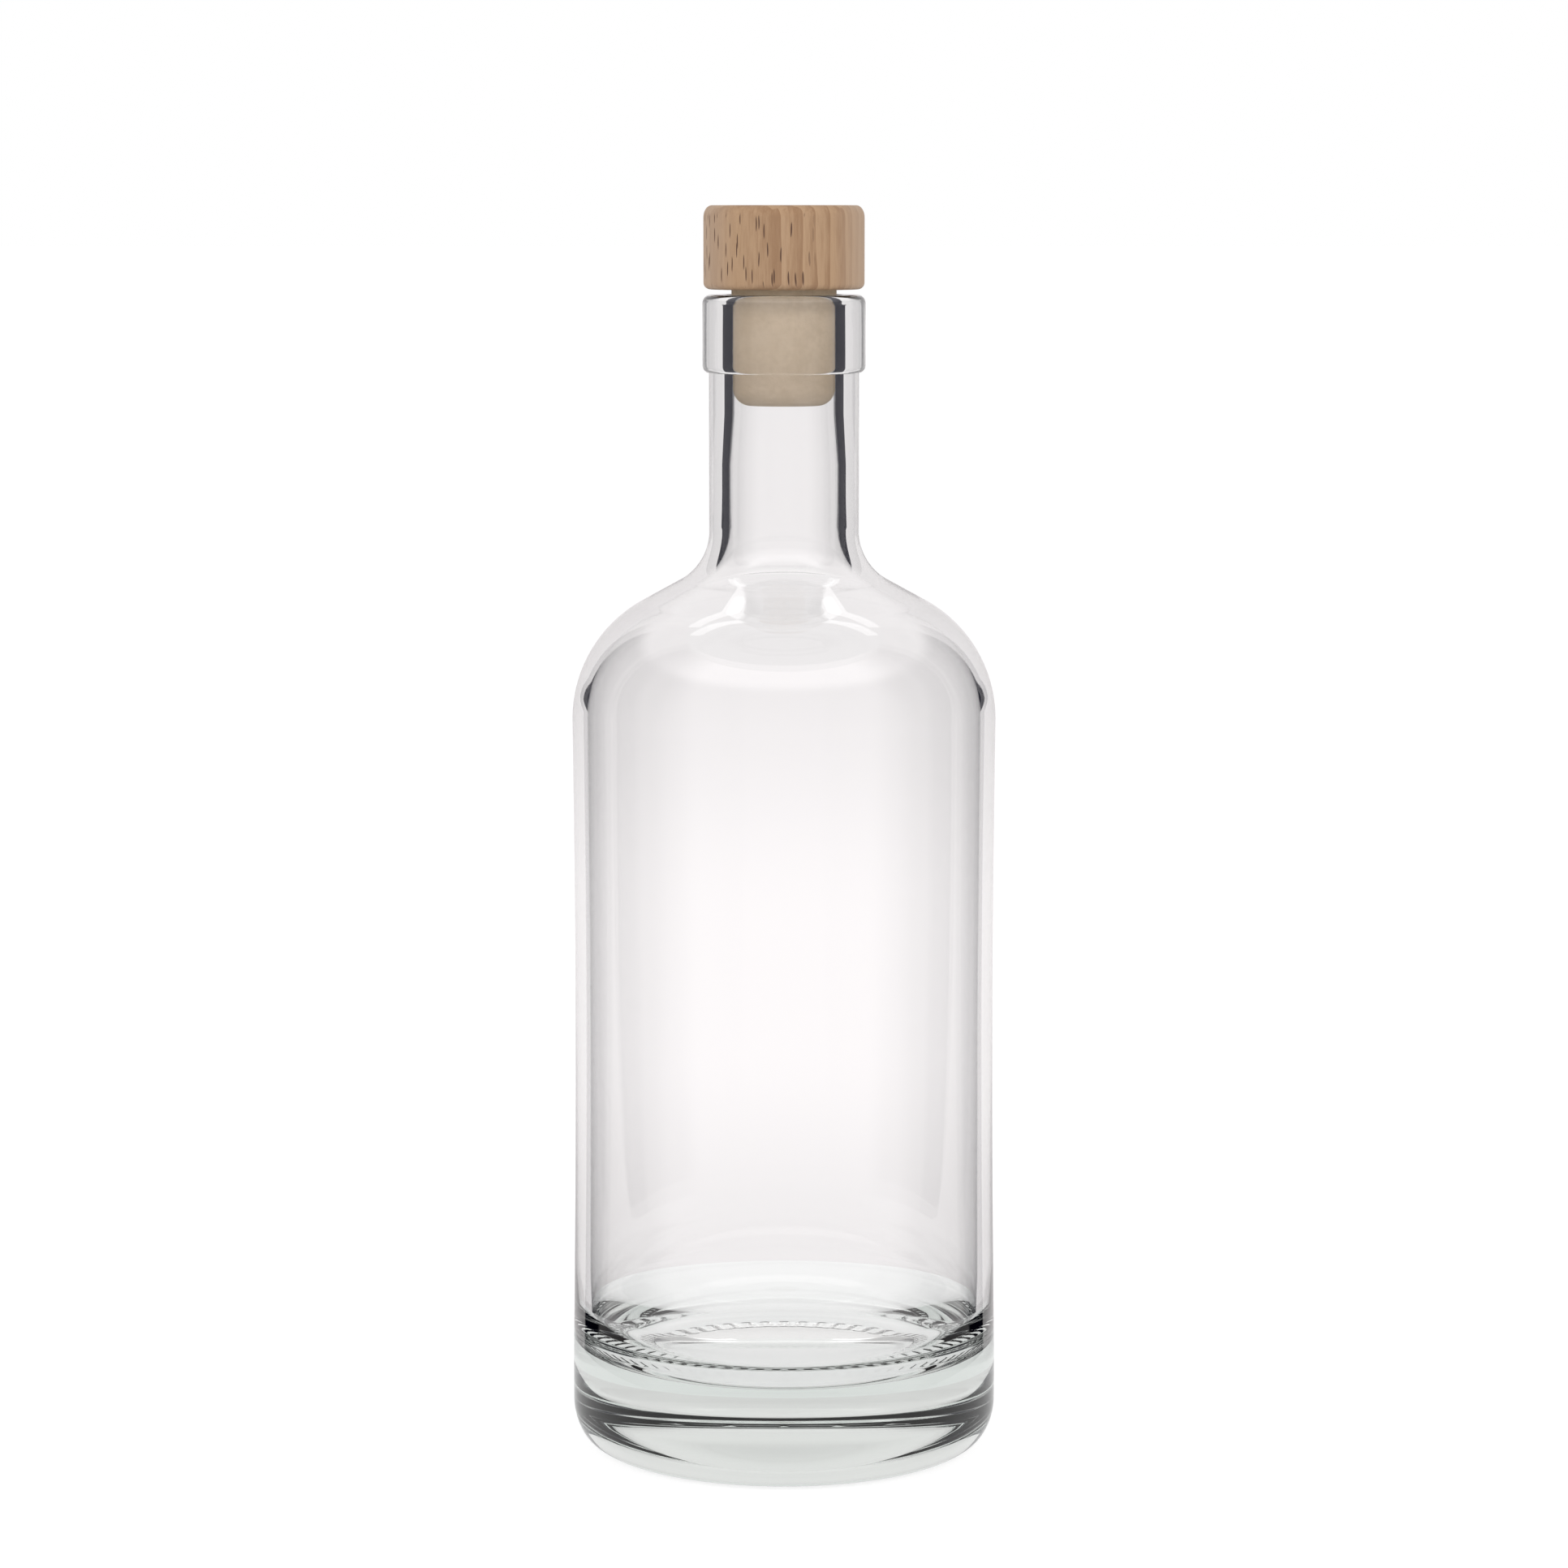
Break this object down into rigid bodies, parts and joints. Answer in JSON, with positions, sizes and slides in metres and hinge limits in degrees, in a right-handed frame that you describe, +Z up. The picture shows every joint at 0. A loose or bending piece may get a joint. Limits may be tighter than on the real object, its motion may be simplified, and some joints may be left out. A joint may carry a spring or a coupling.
{
  "type": "glass bottle with stopper",
  "caption": "Round clear glass bottle with a straight body, rounded shoulder, banded neck and thick base, closed by a wooden-headed cork stopper that lifts out.",
  "frame": {"origin": "centre of the bottle's standing ring, on the surface it stands on", "axes": "+Z up along the bottle's axis, from the base to the stopper's head; +X to the right and +Y away from the viewer in the picture"},
  "size_m": [0.0772, 0.0772, 0.2253],
  "materials": {
    "clear_glass": "polished clear flint glass with a faint grey-green tint",
    "beech": "smooth turned beech, unvarnished, with short dark flecks",
    "moulded_cork": "matt, finely mottled moulded cork"
  },
  "bodies": {
    "bottle": {"glass_bottle": "clear_glass"},
    "stopper": {"stopper_head": "beech", "stopper_shank": "moulded_cork"}
  },
  "joints": [
    {"name": "stopper_slide", "type": "slide", "parent": "bottle", "child": "stopper", "axis": [0, 0, 1], "range_m": [-0.0009, 0.026]}
  ]
}
